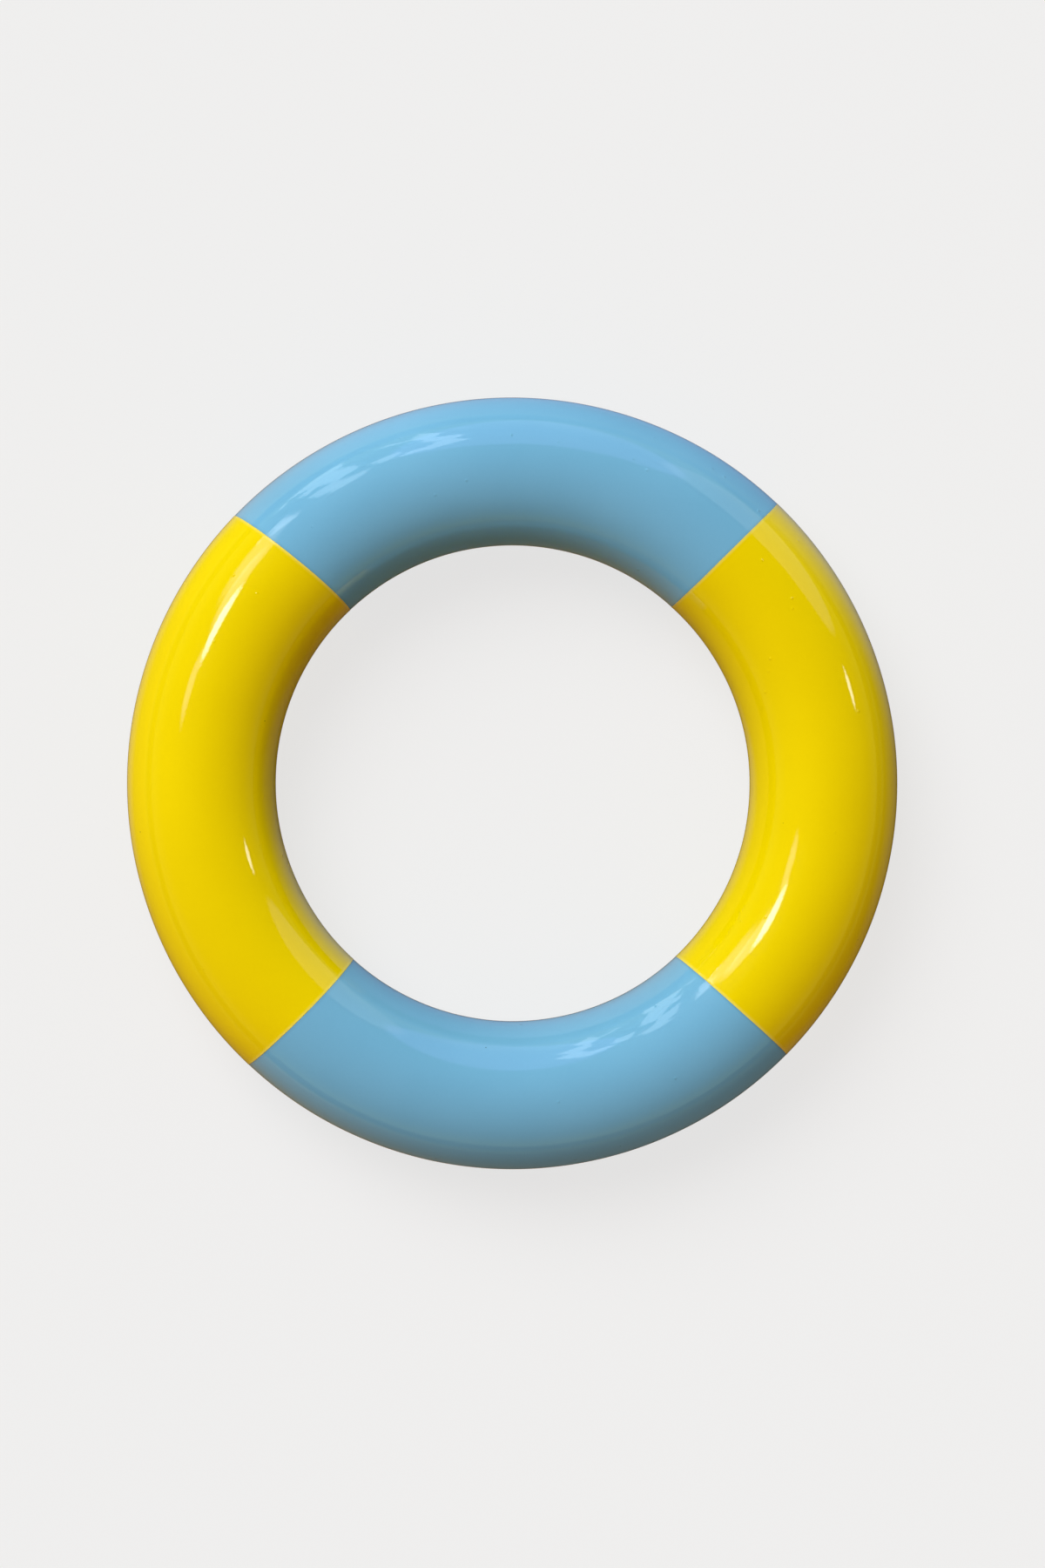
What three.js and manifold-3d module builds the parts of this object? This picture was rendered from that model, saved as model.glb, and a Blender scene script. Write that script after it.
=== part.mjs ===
// A thick wooden juggling ring with a round section, lacquered in two colours.
// It is made of four quarters. Each quarter is a front and a back lamination, glued at the ring's
// middle plane. Fluted dowels hold the quarters end to end and the laminations face to face.
// Units are mm. +Z is the ring's axis, +Y points to the top quarter, and the origin is the ring's centre.

import * as THREE from 'three';
import { mergeVertices } from 'three/addons/utils/BufferGeometryUtils.js';
import Module from 'manifold-3d';

// Driving dimensions: the ring.
const outsideDiameter = 180;
const sectionDiameter = 34.5;
const ringSteps = 72; // facets around the ring
const sectionSteps = 36; // facets around the section
const glueLine = 0.3; // gap at every glued joint, and around every dowel

// The four joints between the quarters. Each line is named by its place around the ring from +X,
// and its lean is how far it turns away from the radius there. Both are in degrees.
const joints = {
  upper_right: { angle: 47.2, lean: -2.8 },
  upper_left: { angle: 135.3, lean: 5.7 },
  lower_left: { angle: 227, lean: -1.8 },
  lower_right: { angle: 314.4, lean: 4 },
};

// The quarters, each from one joint to the next one anticlockwise.
const quarters = {
  blue_top: { from: 'upper_right', to: 'upper_left', colour: 'blue' },
  yellow_left: { from: 'upper_left', to: 'lower_left', colour: 'yellow' },
  blue_bottom: { from: 'lower_left', to: 'lower_right', colour: 'blue' },
  yellow_right: { from: 'lower_right', to: 'upper_right', colour: 'yellow' },
};

// Driving dimensions: the dowels across the joints between quarters.
const jointDowelDiameter = 8;
const jointDowelLength = 26;
const jointDowelHeight = 7.5; // from the ring's middle plane to the dowel's axis

// Driving dimensions: the dowels across the middle plane.
const locatingDowelDiameter = 6;
const locatingDowelLength = 18;
const locatingDowelSpread = 25; // along the middle circle, from a quarter's middle to each dowel

// Driving dimensions: what all dowels share.
const fluteCount = 10;
const fluteDepth = 0.35;
const dowelChamfer = 0.8;
const holeSides = 16;

const sectionRadius = sectionDiameter / 2;
const middleRadius = (outsideDiameter - sectionDiameter) / 2; // the circle through the section's centres
const sides = { front: 1, back: -1 };

const wasm = await Module();
wasm.setup();

const finishes = {
  blue: { color: '#76b7de', roughness: 0.08, metalness: 0 },
  yellow: { color: '#f0d500', roughness: 0.08, metalness: 0 },
  beech: { color: '#d3ae80', roughness: 0.7, metalness: 0 },
};

function radians(degrees) {
  return THREE.MathUtils.degToRad(degrees);
}

// A named mesh with a material of its own.
function piece(name, geometry, finish) {
  const mesh = new THREE.Mesh(geometry, new THREE.MeshStandardMaterial(finishes[finish]));
  mesh.name = name;
  return mesh;
}

// A closed geometry as a solid that can be cut.
function toSolid(geometry) {
  const shape = geometry.clone();
  shape.deleteAttribute('normal');
  shape.deleteAttribute('uv');
  const merged = mergeVertices(shape);
  return new wasm.Manifold(new wasm.Mesh({
    numProp: 3,
    vertProperties: new Float32Array(merged.attributes.position.array),
    triVerts: new Uint32Array(merged.index.array),
  }));
}

function toGeometry(solid) {
  const mesh = solid.getMesh();
  const geometry = new THREE.BufferGeometry();
  geometry.setAttribute('position', new THREE.BufferAttribute(mesh.vertProperties, 3));
  geometry.setIndex(new THREE.BufferAttribute(mesh.triVerts, 1));
  geometry.computeVertexNormals();
  return geometry;
}

// A point at a distance from the ring's axis, at an angle in degrees from +X.
function around(distance, angle) {
  return new THREE.Vector2(distance * Math.cos(radians(angle)), distance * Math.sin(radians(angle)));
}

// The front half of the whole ring: a half-round profile turned about the axis. Its facets are set so
// that one of them is level at the crest, and its flat side stands half a glue line off the middle plane.
function halfRing() {
  const start = Math.asin(glueLine / 2 / sectionRadius);
  const step = (2 * Math.PI) / sectionSteps;
  const turns = [start];
  for (let k = 0; k < sectionSteps / 2; k += 1) {
    turns.push((k + 0.5) * step);
  }
  turns.push(Math.PI - start, start);
  const profile = turns.map((turn) => new THREE.Vector2(
    middleRadius + sectionRadius * Math.cos(turn),
    sectionRadius * Math.sin(turn),
  ));
  return new THREE.LatheGeometry(profile, ringSteps).rotateX(Math.PI / 2);
}

// One end of a joint's line, moved half a glue line into the quarter that it bounds.
function jointEnd(joint, reach, inward) {
  const shift = around((inward * glueLine) / 2, joint.angle + joint.lean + 90);
  return around(middleRadius, joint.angle).add(around(reach, joint.angle + joint.lean)).add(shift);
}

// The middle of a quarter, as an angle, whichever way round the joints are counted.
function middleAngle(quarter) {
  const from = joints[quarter.from].angle;
  const span = (joints[quarter.to].angle - from + 360) % 360;
  return from + span / 2;
}

// A block that holds one quarter of the ring and nothing of its neighbours.
function quarterBlock(quarter) {
  const reach = middleRadius / 2;
  const outline = new THREE.Shape([
    jointEnd(joints[quarter.from], -reach, 1),
    jointEnd(joints[quarter.from], outsideDiameter, 1),
    around(2 * outsideDiameter, middleAngle(quarter)),
    jointEnd(joints[quarter.to], outsideDiameter, -1),
    jointEnd(joints[quarter.to], -reach, -1),
  ]);
  const depth = 2 * sectionDiameter;
  return new THREE.ExtrudeGeometry(outline, { depth, bevelEnabled: false }).translate(0, 0, -depth / 2);
}

// Where a joint's dowel goes: its own Z along the joint's normal, at a height off the middle plane.
function jointPlace(joint, height) {
  const place = new THREE.Object3D();
  const centre = around(middleRadius, joint.angle);
  place.position.set(centre.x, centre.y, height);
  place.rotation.set(Math.PI / 2, 0, radians(joint.angle + joint.lean), 'ZXY');
  return place;
}

// Where a quarter's locating dowels go: upright on the middle circle, one each side of its middle.
function locatingPlaces(quarter) {
  const offset = THREE.MathUtils.radToDeg(locatingDowelSpread / middleRadius);
  return [-offset, offset].map((turn) => {
    const place = new THREE.Object3D();
    const centre = around(middleRadius, middleAngle(quarter) + turn);
    place.position.set(centre.x, centre.y, 0);
    return place;
  });
}

// A fluted dowel along Z, centred on the origin, with a chamfer at each end.
function dowel(diameter, length) {
  const points = [];
  for (let k = 0; k < 2 * fluteCount; k += 1) {
    const distance = diameter / 2 - (k % 2) * fluteDepth;
    points.push(around(distance, (k * 180) / fluteCount));
  }
  const body = new THREE.ExtrudeGeometry(new THREE.Shape(points), {
    depth: length - 2 * dowelChamfer,
    bevelThickness: dowelChamfer,
    bevelSize: dowelChamfer,
    bevelOffset: -dowelChamfer,
    bevelSegments: 1,
  });
  return body.translate(0, 0, dowelChamfer - length / 2);
}

// The room that a dowel needs, with its glue line all round.
function dowelHole(diameter, length, place) {
  const hole = new THREE.CylinderGeometry(
    diameter / 2 + glueLine,
    diameter / 2 + glueLine,
    length + 2 * glueLine,
    holeSides,
  );
  place.updateMatrix();
  return toSolid(hole.rotateX(Math.PI / 2).applyMatrix4(place.matrix));
}

// One lamination of one quarter: its share of the half ring, less the holes for its dowels.
function lamination(quarter, side) {
  const whole = toSolid(side > 0 ? halfRing() : halfRing().rotateX(Math.PI));
  let solid = whole.intersect(toSolid(quarterBlock(quarter)));
  for (const end of [quarter.from, quarter.to]) {
    const place = jointPlace(joints[end], side * jointDowelHeight);
    solid = solid.subtract(dowelHole(jointDowelDiameter, jointDowelLength, place));
  }
  for (const place of locatingPlaces(quarter)) {
    solid = solid.subtract(dowelHole(locatingDowelDiameter, locatingDowelLength, place));
  }
  return toGeometry(solid);
}

// A dowel's mesh, stood at its place.
function placedDowel(name, diameter, length, place) {
  const mesh = piece(name, dowel(diameter, length), 'beech');
  mesh.position.copy(place.position);
  mesh.quaternion.copy(place.quaternion);
  return mesh;
}

const ring = new THREE.Group();

for (const [name, quarter] of Object.entries(quarters)) {
  for (const [side, sign] of Object.entries(sides)) {
    ring.add(piece(`${name}_${side}`, lamination(quarter, sign), quarter.colour));
  }
  locatingPlaces(quarter).forEach((place, k) => {
    const dowelName = `locating_dowel_${name}_${k + 1}`;
    ring.add(placedDowel(dowelName, locatingDowelDiameter, locatingDowelLength, place));
  });
}

for (const [name, joint] of Object.entries(joints)) {
  for (const [side, sign] of Object.entries(sides)) {
    const place = jointPlace(joint, sign * jointDowelHeight);
    ring.add(placedDowel(`joint_dowel_${name}_${side}`, jointDowelDiameter, jointDowelLength, place));
  }
}

export default ring;
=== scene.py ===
# A thick juggling ring of lacquered wood, in light blue and yellow quarters, on a pale studio floor.
# Lengths are in metres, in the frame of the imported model: +Z is the ring's axis and +Y its top.

from math import asin, atan2, cos, pi, radians, sin, sqrt, tan

import bpy
import numpy as np
from mathutils import Matrix, Vector


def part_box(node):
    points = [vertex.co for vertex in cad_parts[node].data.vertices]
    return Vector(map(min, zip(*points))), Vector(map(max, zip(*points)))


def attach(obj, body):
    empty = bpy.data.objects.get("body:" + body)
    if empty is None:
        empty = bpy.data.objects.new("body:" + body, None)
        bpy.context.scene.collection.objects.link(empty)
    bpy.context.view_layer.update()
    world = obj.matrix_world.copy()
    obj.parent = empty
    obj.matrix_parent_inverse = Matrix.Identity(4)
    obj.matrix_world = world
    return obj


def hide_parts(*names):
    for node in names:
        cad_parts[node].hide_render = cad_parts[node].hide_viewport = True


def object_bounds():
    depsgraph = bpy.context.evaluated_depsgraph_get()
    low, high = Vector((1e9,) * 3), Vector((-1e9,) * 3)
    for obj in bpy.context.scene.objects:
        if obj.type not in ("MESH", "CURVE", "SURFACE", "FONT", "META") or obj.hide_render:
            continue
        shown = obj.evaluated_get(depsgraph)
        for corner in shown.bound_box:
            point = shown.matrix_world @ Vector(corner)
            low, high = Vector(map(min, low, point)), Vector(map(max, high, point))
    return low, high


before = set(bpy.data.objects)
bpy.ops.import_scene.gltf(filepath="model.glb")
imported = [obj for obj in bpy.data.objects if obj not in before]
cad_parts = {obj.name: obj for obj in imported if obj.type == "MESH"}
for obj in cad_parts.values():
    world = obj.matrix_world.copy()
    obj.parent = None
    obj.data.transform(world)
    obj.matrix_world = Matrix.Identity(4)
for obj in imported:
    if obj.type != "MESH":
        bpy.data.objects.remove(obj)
cadBox = [list(corner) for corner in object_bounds()]
print("frame loaded,", len(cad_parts), "nodes")


# The ring. Its outside sizes come from the frame.
ring = {
    "facets": 36,  # flats round the CAD section, one of them level at the crest
    "leans": {"upper_right": -2.8, "upper_left": 5.7, "lower_left": -1.8, "lower_right": 4},
    "quarters": {
        "blue_top": ("upper_right", "upper_left"),
        "yellow_left": ("upper_left", "lower_left"),
        "blue_bottom": ("lower_left", "lower_right"),
        "yellow_right": ("lower_right", "upper_right"),
    },
    "stationStep": 0.0008,  # mesh spacing along the middle circle
    "skinPoints": 72,  # mesh points over the round of a half section
    "flatPoints": 24,  # mesh points across its flat
    "arris": 0.00009,  # radius of the softened edge where the laminations meet
    "arrisPoints": 4,
    "glue": 0.000012,  # half the glue line between two pieces
    "bow": 0.00039,  # how far yellow bulges into blue where a joint crosses the crest
    "wander": 0.00006,  # how far a masked colour line strays
    "strayWaves": (3, 5, 8, 13),  # waves in that straying, for one turn of the section
    "uneven": 0.0000175,  # size of each slow wave that sanding by hand leaves on the round
    "wavesAround": (5, 9, 14, 22),  # how many of those waves go round the ring
    "wavesAcross": (0, 1, 2, 4),  # and how many go round the section
    "waveShares": (0.4, 1),  # least and greatest share of its size that a wave gets
    "yellowCoat": 0.00003,  # the yellow went on second, over the blue's edge
    "lip": 0.00002,  # the ridge that the tape left on the yellow's edge
    "lipWidth": 0.0003,
    "endSteps": (0, 0.06, 0.14, 0.25, 0.4, 0.62),  # finer stations next to a joint, in parts of a spacing
    "jointDowelLength": 0.026,
    "holeSlack": 0.00015,  # between a dowel and its hole
    "holeCollar": 0.0016,  # least wood left between a hole and the patch round it
    "collarSteps": (0.35, 0.7, 1),  # mesh rings from a patch's edge to its hole's rim
    "wallSteps": (0.02, 0.25, 0.5, 0.75, 0.98, 1),  # mesh rings down the hole's wall
    "bottomSteps": (0.6, 0.3),  # mesh rings across the hole's bottom
}

crest = cadBox[1][2]
outsideRadius = cadBox[1][0]
sectionRadius = crest / cos(pi / ring["facets"])
middleRadius = outsideRadius - sectionRadius
seeds = np.random.default_rng(7)


# The middle of a CAD node's box, and half its size.
def boxMiddle(node):
    low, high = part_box(node)
    return np.array((low + high) / 2), np.array((high - low) / 2)


# A joint between quarters: where its line crosses the middle circle, which way it runs, and its stray.
def readJoint(name):
    centre, half = boxMiddle(f"joint_dowel_{name}_front")
    line = atan2(centre[1], centre[0]) + radians(ring["leans"][name])
    ending = next(q for q, ends in ring["quarters"].items() if ends[1] == name)
    return {
        "centre": centre,
        "line": np.array([cos(line), sin(line)]),
        "normal": np.array([-sin(line), cos(line)]),
        "bow": ring["bow"] * (1 if ending.startswith("yellow") else -1),
        "phases": seeds.uniform(0, 2 * pi, len(ring["strayWaves"])),
    }


joints = {name: readJoint(name) for name in ring["leans"]}
dowelRadius = boxMiddle("joint_dowel_upper_right_front")[1][2]
waves = [
    (around, across, seeds.uniform(0, 2 * pi), seeds.uniform(*ring["waveShares"]))
    for around in ring["wavesAround"]
    for across in ring["wavesAcross"]
]


# The angle at which a joint passes a distance from the axis, at a turn round the section.
# The line from the joint's centre is followed out to that distance. Then it moves sideways by the bow, times
# the turn's sine squared, and by a few small waves of the turn.
def jointAngle(joint, distance, turn):
    centre, line = joint["centre"][:2], joint["line"]
    along = centre @ line
    reach = -along + np.sqrt(along**2 - centre @ centre + distance**2)
    stray = sum(np.cos(k * turn + phase) / k for k, phase in zip(ring["strayWaves"], joint["phases"]))
    aside = joint["bow"] * np.sin(turn) ** 2 + ring["wander"] * stray
    at = centre[:, None] + line[:, None] * reach + joint["normal"][:, None] * aside
    return np.arctan2(at[1], at[0])


# How far the sanded round stands off a true one: a sum of slow cosines of both angles, shared by all
# quarters, so that it runs on across every joint.
def unevenness(angle, turn):
    total = sum(
        size * np.cos(around * angle + across * turn + phase) / sqrt(around)
        for around, across, phase, size in waves
    )
    return ring["uneven"] * total


# The outline of half a section, as offsets from its centre: the round from the outer edge over the crest
# to the inner edge, with a softened edge at each end, and then the flat back to the start.
def halfSection():
    radius, arris, glue = sectionRadius, ring["arris"], ring["glue"]
    start = asin((glue + arris) / radius)
    corner = np.linspace(0, pi / 2, ring["arrisPoints"] + 1)[:-1]
    cornerX = radius - arris + arris * np.sin(corner)
    cornerZ = glue + arris - arris * np.cos(corner)
    rounded = np.linspace(start, pi - start, ring["skinPoints"])
    flatX = np.linspace(arris - radius, radius - arris, ring["flatPoints"] + 2)[1:-1]
    flatZ = np.full(len(flatX), glue)
    x = np.concatenate([cornerX, radius * np.cos(rounded), -cornerX[::-1], flatX])
    z = np.concatenate([cornerZ, radius * np.sin(rounded), cornerZ[::-1], flatZ])
    skin = len(x) - len(flatX)
    return x, z, skin


# Bores a blind hole through a patch. Rings of vertices run in from the patch's edge to the hole's rim, down
# its wall and in across its floor to a middle point. Each ring has one vertex for each edge vertex, at the
# same angle round the hole's axis.
def bore(points, loop, centre, inward, depth, radius):
    edge = points[loop]
    spoke = edge - centre
    spoke = spoke - np.outer(spoke @ inward, inward)
    spoke = spoke / np.linalg.norm(spoke, axis=1)[:, None]
    rim = centre + spoke * radius
    rings = [edge + (rim - edge) * share for share in ring["collarSteps"]]
    rings += [rim + inward * depth * share for share in ring["wallSteps"]]
    rings += [centre + spoke * radius * share + inward * depth for share in ring["bottomSteps"]]
    first = len(points)
    count = len(loop)
    made = np.vstack([points, *rings, centre + inward * depth])
    ids = np.vstack([loop, first + np.arange(len(rings) * count).reshape(-1, count)])
    nextIds = np.roll(ids, -1, axis=1)
    quads = np.stack([ids[:-1], nextIds[:-1], nextIds[1:], ids[1:]], -1).reshape(-1, 4)
    fan = np.stack([ids[-1], nextIds[-1], np.full(count, len(made) - 1)], -1)
    return made, quads, fan


# One lamination of one quarter. Its surface is a grid: stations from one joint to the next, times the points
# of the half section. A station's angle runs evenly between the two joints' angles at each point. The two
# ends, and two places on the flat, are bored for the dowels.
def makeLamination(name, quarter, side):
    start, end = (joints[j] for j in ring["quarters"][quarter])
    x, z, skin = halfSection()
    turn = np.arctan2(side * z, x)
    distance = middleRadius + x
    first = jointAngle(start, distance, turn)
    last = jointAngle(end, distance, turn)
    last = last + 2 * pi * np.ceil((first - last) / (2 * pi))
    stations = int((last - first).mean() * middleRadius / ring["stationStep"])
    near = np.array(ring["endSteps"]) / stations
    share = np.concatenate([near, np.linspace(1, stations - 1, stations - 1) / stations, 1 - near[::-1]])
    glueTurn = ring["glue"] / distance
    angle = (first + glueTurn) + share[:, None] * (last - first - 2 * glueTurn)
    toJoint = np.minimum(angle - first, last - angle) * distance
    coat = unevenness(angle, turn[None])
    if quarter.startswith("yellow"):
        coat = coat + ring["yellowCoat"] + ring["lip"] * np.exp(-((toJoint / ring["lipWidth"]) ** 2))
    coat = np.where(np.arange(len(x)) < skin, coat, 0)
    stretch = 1 + coat / sectionRadius
    reach = middleRadius + x * stretch
    height = np.broadcast_to(side * z, reach.shape) * stretch
    points = np.stack([reach * np.cos(angle), reach * np.sin(angle), height], -1).reshape(-1, 3)

    rows, columns = angle.shape
    ids = np.arange(rows * columns).reshape(rows, columns)
    right = np.roll(ids, -1, axis=1)
    quads = np.stack([ids[:-1], ids[1:], right[1:], right[:-1]], -1)
    slots = np.broadcast_to(np.where(np.arange(columns) < skin - 1, 0, 1), quads.shape[:2]).copy()
    kept = np.ones(quads.shape[:2], bool)

    holes = []
    boreRadius = dowelRadius + ring["holeSlack"]
    for joint, row, way in ((start, 0, 1), (end, rows - 1, -1)):
        loop = ids[row] if way > 0 else ids[row][::-1]
        centre = joint["centre"] * [1, 1, side]
        inward = np.append(joint["normal"] * way, 0)
        holes.append((loop, centre, inward, ring["jointDowelLength"] / 2 + 2 * ring["holeSlack"], boreRadius))
    for k in (1, 2):
        centre, half = boxMiddle(f"locating_dowel_{quarter}_{k}")
        boreRadius = half[0] + ring["holeSlack"]
        room = boreRadius + ring["holeCollar"]
        centre[2] = side * ring["glue"]
        turned = (atan2(centre[1], centre[0]) - first.mean()) % (2 * pi)
        place = share * (last - first).mean()
        i0, i1 = np.searchsorted(place, [turned - room / middleRadius, turned + room / middleRadius])
        j0, j1 = skin + np.searchsorted(x[skin:], [-room, room])
        kept[i0:i1, j0:j1] = False
        loop = np.concatenate([ids[i0:i1, j0], ids[i1, j0:j1], ids[i1:i0:-1, j1], ids[i0, j1:j0:-1]])
        holes.append((loop, centre, np.array([0, 0, side]), half[2] + ring["holeSlack"], boreRadius))

    faces = [quads[kept]]
    marks = [slots[kept]]
    fans = []
    for loop, centre, inward, depth, radius in holes:
        points, hole, fan = bore(points, loop, centre, inward, depth, radius)
        faces.append(hole)
        marks.append(np.ones(len(hole), int))
        fans.append(fan)
    quads, marks, fans = np.vstack(faces), np.concatenate(marks), np.vstack(fans)
    if side < 0:
        quads, fans = quads[:, ::-1], fans[:, ::-1]
    return buildMesh(name, points, quads, fans, marks, toJoint.ravel())


# Puts quads and triangles into a mesh. Lacquered faces are smooth and bare wood is flat shaded. Each vertex
# of the grid carries its distance to the nearest joint, and the holes' vertices one that is out of reach.
def buildMesh(name, points, quads, fans, marks, toJoint):
    mesh = bpy.data.meshes.new(name)
    mesh.from_pydata(points.tolist(), [], quads.tolist() + fans.tolist())
    marks = np.concatenate([marks, np.ones(len(fans), int)]).astype(np.int32)
    mesh.polygons.foreach_set("material_index", marks)
    mesh.polygons.foreach_set("use_smooth", marks == 0)
    away = np.ones(len(points), np.float32)
    away[: len(toJoint)] = toJoint
    mesh.attributes.new("toJoint", "FLOAT", "POINT").data.foreach_set("value", away)
    mesh.validate()
    mesh.update()
    piece = bpy.data.objects.new(name, mesh)
    bpy.context.scene.collection.objects.link(piece)
    return piece


# An sRGB hex colour as linear values.
def hexColour(text):
    values = np.array([int(text[k : k + 2], 16) for k in (1, 3, 5)]) / 255
    linear = np.where(values <= 0.04045, values / 12.92, ((values + 0.055) / 1.055) ** 2.4)
    return (*linear.tolist(), 1)


# Adds a node, sets its properties and its inputs' values, and links its inputs to other nodes' outputs.
def addNode(tree, kind, settings=None, values=None, links=None):
    node = tree.nodes.new(kind)
    for name, value in (settings or {}).items():
        setattr(node, name, value)
    for name, value in (values or {}).items():
        node.inputs[name].default_value = value
    for name, source in (links or {}).items():
        tree.links.new(source, node.inputs[name])
    return node


def newMaterial(name):
    material = bpy.data.materials.new(name)
    material.use_nodes = True
    tree = material.node_tree
    tree.nodes.clear()
    return material, tree


# Sprayed gloss lacquer on wood: a full, even colour under a mirror-like surface. Its orange peel breaks up
# the edges of what it reflects, and a few dust nibs stand in it as bright pips.
# The pale line along the yellow's masked edges is partly a painted highlight, the glint of the tape's ridge.
lacquer = {
    "cloudSize": 0.03,  # slow drift in the colour, from a coat of uneven thickness
    "mottleSize": 0.0007,  # pigment mottle, drawn coarser than it is so that it shows
    "mottleShare": 0.25,  # how much the mottle adds to the drift
    "driftRange": (0.4, 0.9),  # drift at which the colour is all deep, and all base
    "edgeWidth": 0.0009,  # the thin line along a masked edge, dark on the blue; pale on the yellow, partly its own colour and partly a painted highlight on the tape's ridge
    "edgeAndSheenStrength": 0.4,
    "speckSpacing": 0.0105,
    "speckRadius": 0.00022,
    "speckCore": 0.5,  # share of a speck's radius that is darkest
    "speckStrength": 0.7,
    "peelSize": 0.0008,  # across one cell of the orange peel
    "peelHeight": 0.000005,
    "fineSize": 0.0004,
    "fineHeight": 0.0000012,
    "nibSpacing": 0.0066,
    "nibOffset": (0.031, 0.017, 0.044),  # moves the nibs off the specks
    "nibRadius": 0.0005,
    "nibHeight": 0.00011,
    "ior": 1.5,
    "roughness": (0.02, 0.05),
    "roughnessRange": (0.35, 0.7),  # cloud values that give the two
}


def makeLacquer(name, base, deep, edge, speck):
    material, tree = newMaterial(name)
    place = addNode(tree, "ShaderNodeTexCoord").outputs["Object"]

    # The colour: base and deep, by a slow drift with a fine mottle in it.
    cloud = addNode(
        tree,
        "ShaderNodeTexNoise",
        values={"Scale": 1 / lacquer["cloudSize"], "Detail": 3},
        links={"Vector": place},
    )
    mottle = addNode(
        tree,
        "ShaderNodeTexNoise",
        values={"Scale": 1 / lacquer["mottleSize"], "Detail": 2},
        links={"Vector": place},
    )
    drift = addNode(
        tree,
        "ShaderNodeMath",
        {"operation": "MULTIPLY_ADD"},
        {1: lacquer["mottleShare"]},
        {0: mottle.outputs["Fac"], 2: cloud.outputs["Fac"]},
    )
    low, high = lacquer["driftRange"]
    share = addNode(
        tree,
        "ShaderNodeMapRange",
        values={"From Min": low, "From Max": high},
        links={"Value": drift.outputs[0]},
    )
    colour = addNode(
        tree,
        "ShaderNodeMix",
        {"data_type": "RGBA"},
        {"A": hexColour(deep), "B": hexColour(base)},
        {"Factor": share.outputs[0]},
    )

    # The line along a masked edge, strongest at the joint. On the yellow its pale colour is partly a painted
    # highlight of the tape's ridge.
    away = addNode(tree, "ShaderNodeAttribute", {"attribute_name": "toJoint"})
    line = addNode(
        tree,
        "ShaderNodeMapRange",
        {"interpolation_type": "SMOOTHSTEP"},
        {"From Min": 0, "From Max": lacquer["edgeWidth"], "To Min": lacquer["edgeAndSheenStrength"], "To Max": 0},
        {"Value": away.outputs["Fac"]},
    )
    colour = addNode(
        tree,
        "ShaderNodeMix",
        {"data_type": "RGBA"},
        {"B": hexColour(edge)},
        {"Factor": line.outputs[0], "A": colour.outputs["Result"]},
    )

    # Dark specks of dirt under the surface.
    specks = addNode(
        tree, "ShaderNodeTexVoronoi", values={"Scale": 1 / lacquer["speckSpacing"]}, links={"Vector": place}
    )
    reach = lacquer["speckRadius"] / lacquer["speckSpacing"]
    core = reach * lacquer["speckCore"]
    dark = addNode(
        tree,
        "ShaderNodeMapRange",
        {"interpolation_type": "SMOOTHSTEP"},
        {"From Min": core, "From Max": reach, "To Min": lacquer["speckStrength"], "To Max": 0},
        {"Value": specks.outputs["Distance"]},
    )
    colour = addNode(
        tree,
        "ShaderNodeMix",
        {"data_type": "RGBA"},
        {"B": hexColour(speck)},
        {"Factor": dark.outputs[0], "A": colour.outputs["Result"]},
    )

    # The relief: orange peel, a finer ripple on it, and round nibs.
    peel = addNode(
        tree,
        "ShaderNodeTexNoise",
        values={"Scale": 1 / lacquer["peelSize"], "Detail": 1, "Roughness": 0.4},
        links={"Vector": place},
    )
    fine = addNode(
        tree,
        "ShaderNodeTexNoise",
        values={"Scale": 1 / lacquer["fineSize"], "Detail": 1},
        links={"Vector": place},
    )
    moved = addNode(
        tree, "ShaderNodeMapping", values={"Location": lacquer["nibOffset"]}, links={"Vector": place}
    )
    nibs = addNode(
        tree,
        "ShaderNodeTexVoronoi",
        values={"Scale": 1 / lacquer["nibSpacing"]},
        links={"Vector": moved.outputs[0]},
    )
    reach = lacquer["nibRadius"] / lacquer["nibSpacing"]
    nib = addNode(
        tree,
        "ShaderNodeMapRange",
        {"interpolation_type": "SMOOTHSTEP"},
        {"From Min": 0, "From Max": reach, "To Min": 1, "To Max": 0},
        {"Value": nibs.outputs["Distance"]},
    )
    bump = addNode(
        tree,
        "ShaderNodeBump",
        values={"Strength": 1, "Distance": lacquer["peelHeight"]},
        links={"Height": peel.outputs["Fac"]},
    )
    bump = addNode(
        tree,
        "ShaderNodeBump",
        values={"Strength": 1, "Distance": lacquer["fineHeight"]},
        links={"Height": fine.outputs["Fac"], "Normal": bump.outputs[0]},
    )
    bump = addNode(
        tree,
        "ShaderNodeBump",
        values={"Strength": 1, "Distance": lacquer["nibHeight"]},
        links={"Height": nib.outputs[0], "Normal": bump.outputs[0]},
    )

    # The polish, a little duller where the coat is thick.
    low, high = lacquer["roughnessRange"]
    smooth, dull = lacquer["roughness"]
    polish = addNode(
        tree,
        "ShaderNodeMapRange",
        values={"From Min": low, "From Max": high, "To Min": smooth, "To Max": dull},
        links={"Value": cloud.outputs["Fac"]},
    )
    shader = addNode(
        tree,
        "ShaderNodeBsdfPrincipled",
        values={"IOR": lacquer["ior"], "Metallic": 0},
        links={
            "Base Color": colour.outputs["Result"],
            "Roughness": polish.outputs[0],
            "Normal": bump.outputs[0],
        },
    )
    addNode(tree, "ShaderNodeOutputMaterial", links={"Surface": shader.outputs[0]})
    return material


# Sawn beech, unfinished: pale straw wood with short brown ray flecks along the grain, and no shine.
beech = {
    "grainAcross": 0.0009,
    "grainAlong": 0.012,
    "growthRing": 0.007,  # between two growth rings
    "ringShare": 0.3,  # how much the growth rings add to the grain
    "toneRange": (0.35, 0.95),  # grain value at which the wood is all dark, and all pale
    "fleckHeight": 0.00004,
    "ior": 1.5,
    "roughness": 0.72,
}


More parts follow.
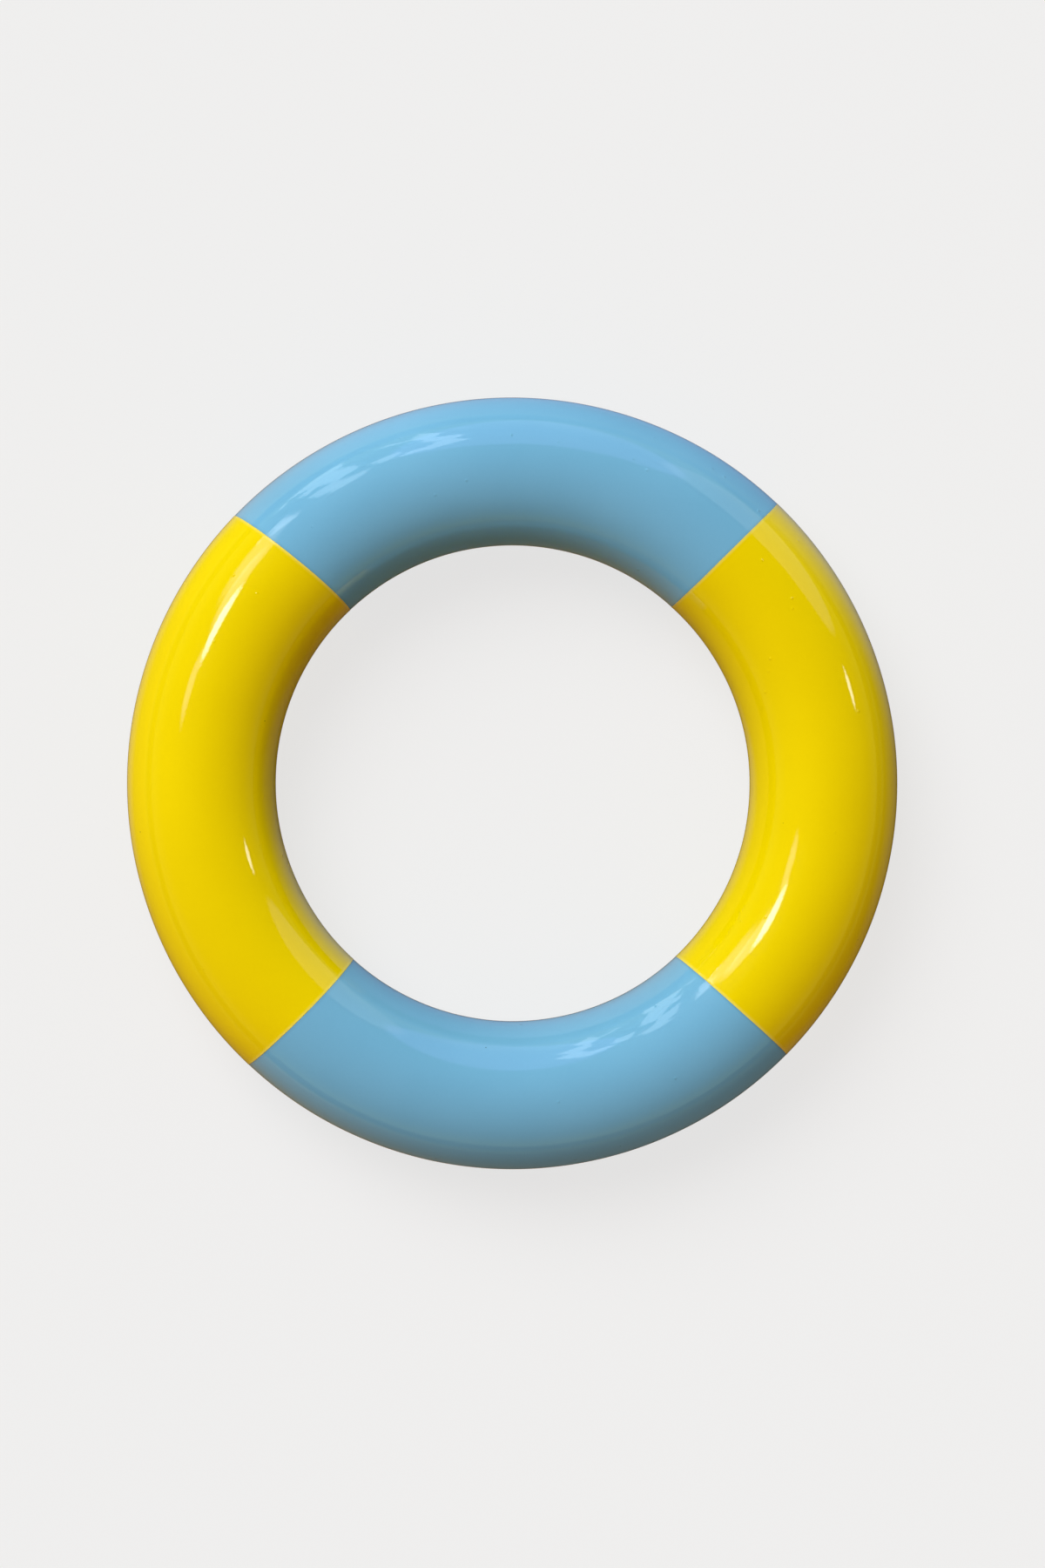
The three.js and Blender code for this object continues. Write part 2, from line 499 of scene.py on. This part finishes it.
# Stretch is the axis that the grain runs along, from 0 for X to 2 for Z. At a scale of 1 a band texture's
# waves are a twentieth of 2 pi apart.
def makeBeech(name, pale, dark, stretch):
    material, tree = newMaterial(name)
    place = addNode(tree, "ShaderNodeTexCoord").outputs["Object"]
    scale = [1 / beech["grainAcross"]] * 3
    scale[stretch] = 1 / beech["grainAlong"]
    fibres = addNode(tree, "ShaderNodeMapping", values={"Scale": scale}, links={"Vector": place})
    grain = addNode(
        tree, "ShaderNodeTexNoise", values={"Scale": 1, "Detail": 4}, links={"Vector": fibres.outputs[0]}
    )
    growth = addNode(
        tree,
        "ShaderNodeTexWave",
        {"wave_type": "BANDS", "bands_direction": "Z"},
        {"Scale": 2 * pi / 20 / beech["growthRing"], "Distortion": 3, "Detail": 2},
        {"Vector": place},
    )
    both = addNode(
        tree,
        "ShaderNodeMath",
        {"operation": "MULTIPLY_ADD"},
        {1: beech["ringShare"]},
        {0: growth.outputs["Fac"], 2: grain.outputs["Fac"]},
    )
    low, high = beech["toneRange"]
    share = addNode(
        tree,
        "ShaderNodeMapRange",
        values={"From Min": low, "From Max": high},
        links={"Value": both.outputs[0]},
    )
    colour = addNode(
        tree,
        "ShaderNodeMix",
        {"data_type": "RGBA"},
        {"A": hexColour(dark), "B": hexColour(pale)},
        {"Factor": share.outputs[0]},
    )
    bump = addNode(
        tree,
        "ShaderNodeBump",
        values={"Strength": 1, "Distance": beech["fleckHeight"]},
        links={"Height": grain.outputs["Fac"]},
    )
    shader = addNode(
        tree,
        "ShaderNodeBsdfPrincipled",
        values={"IOR": beech["ior"], "Roughness": beech["roughness"]},
        links={"Base Color": colour.outputs["Result"], "Normal": bump.outputs[0]},
    )
    addNode(tree, "ShaderNodeOutputMaterial", links={"Surface": shader.outputs[0]})
    return material


# Each lacquer's base colour, the deeper one that it drifts to, its masked edge line (on the yellow partly a
# painted highlight) and its specks.
finishes = {
    "blue": makeLacquer("sprayedLacquerBlue", "#74b3d7", "#6faed2", "#6298b4", "#31536a"),
    # The yellow's pale edge colour is partly a painted highlight of the tape's ridge.
    "yellow": makeLacquer("sprayedLacquerYellow", "#eed300", "#e9ce00", "#efe283", "#6d5a10"),
}
sawnBeech = makeBeech("sawnBeech", "#d9b98c", "#b98f5e", 0)
turnedBeech = makeBeech("turnedBeechDowel", "#d3b184", "#b08653", 2)
print("materials made")


# The laminations take the places of their CAD solids, and the CAD dowels get their wood.
for quarter in ring["quarters"]:
    colour = quarter.split("_")[0]
    for side, sign in (("front", 1), ("back", -1)):
        node = f"{quarter}_{side}"
        piece = makeLamination(f"{node}_lacquered", quarter, sign)
        piece.data.materials.append(finishes[colour])
        piece.data.materials.append(sawnBeech)
        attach(piece, "root")
        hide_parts(node)
print("eight laminations made")

for name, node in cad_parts.items():
    if "dowel" in name:
        node.data.materials.clear()
        node.data.materials.append(turnedBeech)
print("dowels finished")


# The floor and the light that the ring is seen in.
studio = {
    "floorSize": 6,
    "paper": "#ededed",
    "glow": 0.84,  # how much of the paper's brightness is its own, which keeps shadows faint
    "background": 0.871,
    "lightFrom": (129.5, 40),  # turn from +X and tip from +Z of the soft light, in degrees
    "lightEdges": (0.89, 1),  # cosines of the angles where it has faded out, and where it is full
    "lightColour": (8.75, 8.75, 8.75),
    "fillFrom": (95, 90),
    "fillNear": (0.15, 0.3, 0.3),  # the fill light from its own side, and from the other
    "fillFar": (0.38, 0.14, 0.045),
    "bounce": (0.27, 0.27, 0.27),  # straight up from the floor
    "bounceEdges": (0.55, 1),
    "around": (0.93, 0.93, 0.93),  # level light from all round, which reaches only the steep faces
    "aroundEdges": (0.02, 0.22),  # heights where it is full, and where it has faded out
    "groundFrom": (172, 90),
    "groundFade": -0.3,  # cosine of the angle from there at which the mirrored ground is dimmest
    "groundGain": (0.12, 1.9),  # how bright it is away from that side, and on it
}


# The direction at a turn round the ring's axis and a tip away from it, both in degrees.
def direction(turn, tip):
    turn, tip = radians(turn), radians(tip)
    return cos(turn) * sin(tip), sin(turn) * sin(tip), cos(tip)


def makeFloor():
    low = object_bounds()[0]
    half = studio["floorSize"] / 2
    corners = [(x * half, y * half, low.z) for x, y in ((-1, -1), (1, -1), (1, 1), (-1, 1))]
    mesh = bpy.data.meshes.new("floor")
    mesh.from_pydata(corners, [], [(0, 1, 2, 3)])
    floor = bpy.data.objects.new("floor", mesh)
    bpy.context.scene.collection.objects.link(floor)
    material, tree = newMaterial("paperSweep")
    lit = addNode(tree, "ShaderNodeBsdfDiffuse", values={"Color": hexColour(studio["paper"])})
    own = addNode(tree, "ShaderNodeEmission", values={"Strength": studio["background"]})
    mix = addNode(
        tree, "ShaderNodeMixShader", values={0: studio["glow"]}, links={1: lit.outputs[0], 2: own.outputs[0]}
    )
    addNode(tree, "ShaderNodeOutputMaterial", links={"Surface": mix.outputs[0]})
    mesh.materials.append(material)
    floor.visible_glossy = False
    floor.visible_diffuse = False


# What the gloss shows by height, from straight down at -1 to straight up at 1. The ground is brown and
# brighter on one side. The sky is pale just above a crisp horizon, with a thin band of haze under it.
ground = [
    (-1, (0.5, 0.3, 0.03)),
    (-0.18, (0.5, 0.3, 0.03)),
    (-0.12, (0.03, 0.02, 0.01)),
    (1, (0.03, 0.02, 0.01)),
]
sky = [
    (-0.22, (0.02, 0.02, 0.02)),
    (-0.2, (0.16, 0.2, 0.06)),
    (-0.12, (0.2, 0.25, 0.08)),
    (-0.09, (0.02, 0.02, 0.02)),
    (0.07, (0.02, 0.02, 0.02)),
    (0.09, (0.45, 0.52, 0.12)),
    (0.4, (0.08, 0.1, 0.03)),
    (1, (0.03, 0.03, 0.02)),
]

# The lights and pale patches that the gloss shows. Each is full within its inner angle of its own direction,
# and fades out to its outer angle. All angles are in degrees.
lights = [
    {"turn": 147.5, "tip": 37, "inner": 2.6, "outer": 5.8, "strength": 15},
    {"turn": 140, "tip": 44, "inner": 3, "outer": 8, "strength": 3.2},
    {"turn": 135, "tip": 54, "inner": 3, "outer": 10, "strength": 2.2},
    {"turn": 161, "tip": 41, "inner": 2, "outer": 6, "strength": 2.6},
    {"turn": 15.5, "tip": 58, "inner": 1.5, "outer": 3.2, "strength": 9},
    {"turn": 43, "tip": 66, "inner": 16, "outer": 18, "strength": 0.8},
    {"turn": 72, "tip": 122, "inner": 18, "outer": 55, "strength": 0.75, "tint": (0.35, 0.5, 1)},
    {"turn": 280, "tip": 135, "inner": 15, "outer": 40, "strength": 0.08, "tint": (0.3, 0.7, 1)},
    {"turn": 158, "tip": 150, "inner": 5, "outer": 24, "strength": 0.22, "tint": (0.2, 0.35, 1)},
    {"turn": 5, "tip": 130, "inner": 8, "outer": 26, "strength": 0.1, "tint": (0.5, 0.6, 1)},
    {"turn": 82, "tip": 62, "inner": 21, "outer": 22, "strength": 1.2, "tint": (0.5, 0.6, 1.5)},
    {
        "turn": 112,
        "tip": 66,
        "inner": 20,
        "outer": 20.6,
        "strength": 3.2,
        "tint": (0.7, 0.85, 1),
        "ragged": True,  # seen through the branches
    },
]


# How bright a soft-edged disc is in each direction. Edges are the cosines of the angles from its middle where
# it has faded out, and where it is full.
def addDisc(tree, way, towards, edges, strength=1):
    facing = addNode(tree, "ShaderNodeVectorMath", {"operation": "DOT_PRODUCT"}, {1: towards}, {0: way})
    disc = addNode(
        tree,
        "ShaderNodeMapRange",
        {"interpolation_type": "SMOOTHSTEP"},
        {"From Min": edges[0], "From Max": edges[1], "To Max": strength},
        {"Value": facing.outputs["Value"]},
    )
    return disc.outputs[0]


# A colour that changes with place, from 0 straight down to 1 straight up, through a list of levels.
def addLevels(tree, place, levels):
    ramp = addNode(tree, "ShaderNodeValToRGB", links={"Fac": place})
    stops = ramp.color_ramp.elements
    while len(stops) < len(levels):
        stops.new(0.5)
    for stop, (level, colour) in zip(stops, levels):
        stop.position = (level + 1) / 2
        stop.color = (*colour, 1)
    return ramp.outputs["Color"]


# The pattern of branches: tall cells that lean to one side, each with its own brightness.
branches = {
    "facing": (112, 90),  # turn and tip of the direction that the branches are seen in
    "lean": -14,
    "cells": 14,  # across one unit of direction
    "squash": 0.16,  # the cells' count in height as a share of their count across
    "edges": (0.48, 0.53),  # brightness where a cell starts to show, and where it shows in full
}


def addBranches(tree, way):
    leaning = addNode(
        tree,
        "ShaderNodeVectorRotate",
        values={"Axis": direction(*branches["facing"]), "Angle": radians(branches["lean"])},
        links={"Vector": way},
    )
    tall = addNode(
        tree,
        "ShaderNodeMapping",
        values={"Scale": (1, 1, branches["squash"])},
        links={"Vector": leaning.outputs[0]},
    )
    cells = addNode(
        tree, "ShaderNodeTexVoronoi", values={"Scale": branches["cells"]}, links={"Vector": tall.outputs[0]}
    )
    shown = addNode(
        tree,
        "ShaderNodeMapRange",
        {"interpolation_type": "SMOOTHSTEP"},
        {"From Min": branches["edges"][0], "From Max": branches["edges"][1]},
        {"Value": cells.outputs["Color"]},
    )
    return shown.outputs[0]


# The room that the gloss shows: the sky's levels, plus each light in turn, plus the ground's levels times
# a gain that grows towards one side.
def addReflections(tree, way):
    height = addNode(tree, "ShaderNodeSeparateXYZ", links={0: way}).outputs["Z"]
    place = addNode(tree, "ShaderNodeMapRange", values={"From Min": -1}, links={"Value": height}).outputs[0]
    shown = addBranches(tree, way)
    total = addLevels(tree, place, sky)
    for light in lights:
        edges = (cos(radians(light["outer"])), cos(radians(light["inner"])))
        disc = addDisc(tree, way, direction(light["turn"], light["tip"]), edges, light["strength"])
        if light.get("ragged"):
            disc = addNode(
                tree, "ShaderNodeMath", {"operation": "MULTIPLY"}, links={0: disc, 1: shown}
            ).outputs[0]
        total = addNode(
            tree,
            "ShaderNodeVectorMath",
            {"operation": "MULTIPLY_ADD"},
            {1: light.get("tint", (1, 1, 1))},
            {0: disc, 2: total},
        ).outputs[0]
    towards = direction(*studio["groundFrom"])
    side = addNode(tree, "ShaderNodeVectorMath", {"operation": "DOT_PRODUCT"}, {1: towards}, {0: way})
    dim, bright = studio["groundGain"]
    gain = addNode(
        tree,
        "ShaderNodeMapRange",
        {"interpolation_type": "SMOOTHSTEP"},
        {"From Min": studio["groundFade"], "To Min": dim, "To Max": bright},
        {"Value": side.outputs["Value"]},
    )
    glow = addNode(
        tree,
        "ShaderNodeVectorMath",
        {"operation": "MULTIPLY_ADD"},
        links={0: addLevels(tree, place, ground), 1: gain.outputs[0], 2: total},
    )
    return glow.outputs[0]


# The light that falls on the object: the fill, which changes evenly from one side to the other, plus the soft
# light, the bounce and the level light, each as its brightness times its colour.
def addLighting(tree, way):
    side = addNode(
        tree,
        "ShaderNodeVectorMath",
        {"operation": "DOT_PRODUCT"},
        {1: direction(*studio["fillFrom"])},
        {0: way},
    )
    share = addNode(
        tree, "ShaderNodeMapRange", values={"From Min": -1}, links={"Value": side.outputs["Value"]}
    )
    total = addNode(
        tree,
        "ShaderNodeMix",
        {"data_type": "RGBA"},
        {"A": (*studio["fillFar"], 1), "B": (*studio["fillNear"], 1)},
        {"Factor": share.outputs[0]},
    ).outputs["Result"]
    height = addNode(tree, "ShaderNodeSeparateXYZ", links={0: way}).outputs["Z"]
    tilt = addNode(tree, "ShaderNodeMath", {"operation": "ABSOLUTE"}, links={0: height})
    full, gone = studio["aroundEdges"]
    level = addNode(
        tree,
        "ShaderNodeMapRange",
        {"interpolation_type": "SMOOTHSTEP"},
        {"From Min": full, "From Max": gone, "To Min": 1, "To Max": 0},
        {"Value": tilt.outputs[0]},
    )
    soft = addDisc(tree, way, direction(*studio["lightFrom"]), studio["lightEdges"])
    bounce = addDisc(tree, way, (0, 0, -1), studio["bounceEdges"])
    for colour, source in (("lightColour", soft), ("bounce", bounce), ("around", level.outputs[0])):
        total = addNode(
            tree,
            "ShaderNodeVectorMath",
            {"operation": "MULTIPLY_ADD"},
            {1: studio[colour]},
            {0: source, 2: total},
        ).outputs[0]
    return total


# The world around the ring. One part of it lights the object, another is what the gloss shows, and the camera
# sees a plain pale wall.
def makeWorld():
    world = bpy.data.worlds.new("studio")
    bpy.context.scene.world = world
    world.use_nodes = True
    tree = world.node_tree
    tree.nodes.clear()
    way = addNode(tree, "ShaderNodeTexCoord").outputs["Generated"]
    path = addNode(tree, "ShaderNodeLightPath")
    lighting = addNode(tree, "ShaderNodeBackground", links={"Color": addLighting(tree, way)})
    mirrored = addNode(tree, "ShaderNodeBackground", links={"Color": addReflections(tree, way)})
    wall = addNode(
        tree, "ShaderNodeBackground", values={"Color": (1, 1, 1, 1), "Strength": studio["background"]}
    )
    mix = addNode(
        tree,
        "ShaderNodeMixShader",
        links={0: path.outputs["Is Glossy Ray"], 1: lighting.outputs[0], 2: mirrored.outputs[0]},
    )
    mix = addNode(
        tree,
        "ShaderNodeMixShader",
        links={0: path.outputs["Is Camera Ray"], 1: mix.outputs[0], 2: wall.outputs[0]},
    )
    addNode(tree, "ShaderNodeOutputWorld", links={"Surface": mix.outputs[0]})


# The camera. It stands on the ring's axis, but for two small angles.
picture = {
    "distance": 1.5,
    "toLeft": 4.1,  # degrees that the camera stands off the ring's axis
    "below": 0.8,
    "aim": (0.0021, -0.0002, 0),
    "ringShare": 0.492,  # the ring's outside diameter as a share of the picture's height
    "sensor": 36,
}


def makeCamera():
    data = bpy.data.cameras.new("camera")
    camera = bpy.data.objects.new("camera", data)
    bpy.context.scene.collection.objects.link(camera)
    away = Vector((-tan(radians(picture["toLeft"])), -tan(radians(picture["below"])), 1)).normalized()
    right = Vector((0, 1, 0)).cross(away).normalized()
    camera.location = Vector(picture["aim"]) + away * picture["distance"]
    camera.rotation_euler = Matrix((right, away.cross(right), away)).transposed().to_euler()
    data.sensor_width = picture["sensor"]
    data.lens = picture["sensor"] * picture["ringShare"] * picture["distance"] / (2 * outsideRadius)
    bpy.context.scene.camera = camera


makeFloor()
makeWorld()
makeCamera()
bpy.context.scene.view_settings.view_transform = "Standard"
print("studio made")
